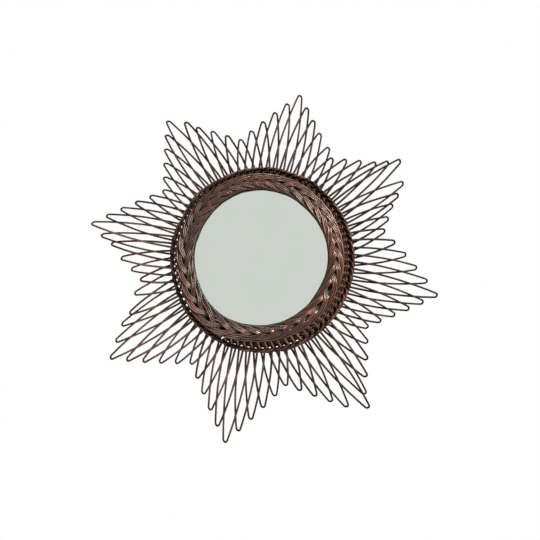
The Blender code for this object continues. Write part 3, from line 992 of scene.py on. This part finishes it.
def bar_lashings():
    """Fine rod wound round the hoop and each end of the bar."""
    low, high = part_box("hanging_bar")
    bundle = Bundle()
    y = (low[1] + high[1]) / 2
    for hand in (-1, 1):
        x = hand * (high[0] - LASHING_INSET)
        z_bar = (low[2] + high[2]) / 2
        z_hoop = CENTRE_Z + math.sqrt(HOOP_RADIUS ** 2 - x * x)
        middle = (z_bar + z_hoop) / 2
        half = (z_hoop - z_bar) / 2 + LASHING_REACH
        points = []
        count = LASHING_TURNS * LASHING_STEPS
        for k in range(count + 1):
            t = k / count
            angle = 2 * math.pi * LASHING_TURNS * t
            lean = hand * LASHING_LEAN * math.cos(angle)
            across = x + (t - 0.5) * LASHING_LENGTH - lean * 0.6
            depth = y - 0.0001 + LASHING_HALF_DEPTH * math.sin(angle)
            points.append((across, depth, middle + half * math.cos(angle)))
        bundle.rod(points, LASHING_RADIUS, 6, False, 0.4)
    return bundle.build("bar_lashings", BAND_MAT, ())


# Stage: floor, light and camera

FLOOR_Z = -1.45
PICTURE_PX = 540.0
SENSOR_MM = 36.0
FOCAL_PX = 335.0
CAMERA_SPOT = (0.0190, -0.504, CENTRE_Z - 0.0650)
CAMERA_RISE_DEG = 5.457
CAMERA_TURN_DEG = 0.766
MIDDLE = (0.0, 0.0, CENTRE_Z)


def stage():
    """Pale floor well below the mirror."""
    mat, tree, shader = new_material("pale_floor", 0.8)
    coords = node(tree, "ShaderNodeTexCoord").outputs["Object"]
    noise = node(tree, "ShaderNodeTexNoise")
    noise.inputs["Scale"].default_value = 3.0
    tree.links.new(coords, noise.inputs["Vector"])
    colours = ramp(tree, ((0.3, (0.78, 0.78, 0.77)), (0.7, (0.84, 0.84, 0.83))))
    tree.links.new(noise.outputs["Fac"], colours.inputs["Fac"])
    tree.links.new(colours.outputs["Color"], shader.inputs["Base Color"])
    mesh = bpy.data.meshes.new("floor")
    mesh.from_pydata([(-3, -3.5, FLOOR_Z), (3, -3.5, FLOOR_Z), (3, 0.9, FLOOR_Z), (-3, 0.9, FLOOR_Z)], [],
                     [(0, 1, 2, 3)])
    floor = bpy.data.objects.new("floor", mesh)
    bpy.context.scene.collection.objects.link(floor)
    mesh.materials.append(mat)


def world():
    """White behind the mirror, pale grey-green straight in front, softer grey to the sides."""
    made = bpy.data.worlds.new("studio")
    bpy.context.scene.world = made
    made.use_nodes = True
    tree = made.node_tree
    back = tree.nodes["Background"]
    coords = node(tree, "ShaderNodeTexCoord").outputs["Generated"]
    parts = node(tree, "ShaderNodeSeparateXYZ")
    tree.links.new(coords, parts.inputs[0])
    share = node(tree, "ShaderNodeMapRange")
    share.inputs["From Min"].default_value = -1.0
    share.inputs["From Max"].default_value = 1.0
    tree.links.new(parts.outputs["Y"], share.inputs["Value"])
    colours = ramp(tree, ((0.0, (0.66, 0.69, 0.65)), (0.035, (0.66, 0.69, 0.65)), (0.12, (0.26, 0.24, 0.215)),
                          (0.28, (0.10, 0.09, 0.083)), (0.72, (0.08, 0.08, 0.08)), (0.80, (1.0, 1.0, 1.0)),
                          (1.0, (1.0, 1.0, 1.0))))
    tree.links.new(share.outputs[0], colours.inputs["Fac"])
    tree.links.new(colours.outputs["Color"], back.inputs["Color"])


def area(name, spot, size, power, colour=(1.0, 1.0, 1.0)):
    """Soft area light aimed at the middle of the glass."""
    light = bpy.data.lights.new(name, "AREA")
    light.shape = "RECTANGLE"
    light.size, light.size_y = size
    light.energy = power
    light.color = colour
    obj = bpy.data.objects.new(name, light)
    obj.location = spot
    obj.rotation_euler = (Vector(MIDDLE) - Vector(spot)).to_track_quat("-Z", "Y").to_euler()
    bpy.context.scene.collection.objects.link(obj)


def camera():
    """Camera at the photograph's angle: a little low, looking slightly up."""
    data = bpy.data.cameras.new("camera")
    data.sensor_width = SENSOR_MM
    data.lens = FOCAL_PX * SENSOR_MM / PICTURE_PX
    data.clip_start = 0.01
    obj = bpy.data.objects.new("camera", data)
    obj.location = CAMERA_SPOT
    obj.rotation_euler = (math.radians(90.0 + CAMERA_RISE_DEG), 0.0, math.radians(CAMERA_TURN_DEG))
    bpy.context.scene.collection.objects.link(obj)
    bpy.context.scene.camera = obj


def main():
    """Everything."""
    camera()
    world()
    area("key", (1.12, -0.85, 0.52), (0.60, 0.60), 46.0, (1.0, 0.93, 0.88))
    area("fill", (-0.6, -0.75, -0.95), (0.50, 0.50), 6.0)
    area("top", (0.15, -0.80, 1.0), (0.34, 0.22), 8.0, (1.0, 0.95, 0.91))
    stage()
    for number in range(POINT_COUNT):
        star_rods(number)
    foot_rope()
    band_stakes()
    band_twining()
    band_packing()
    for number in range(3):
        border_strand(number)
    border_core()
    foot_hoop()
    mirror_plate()
    back_board()
    nail_bar()
    bar_lashings()
    bpy.context.scene.view_settings.view_transform = "Standard"


main()
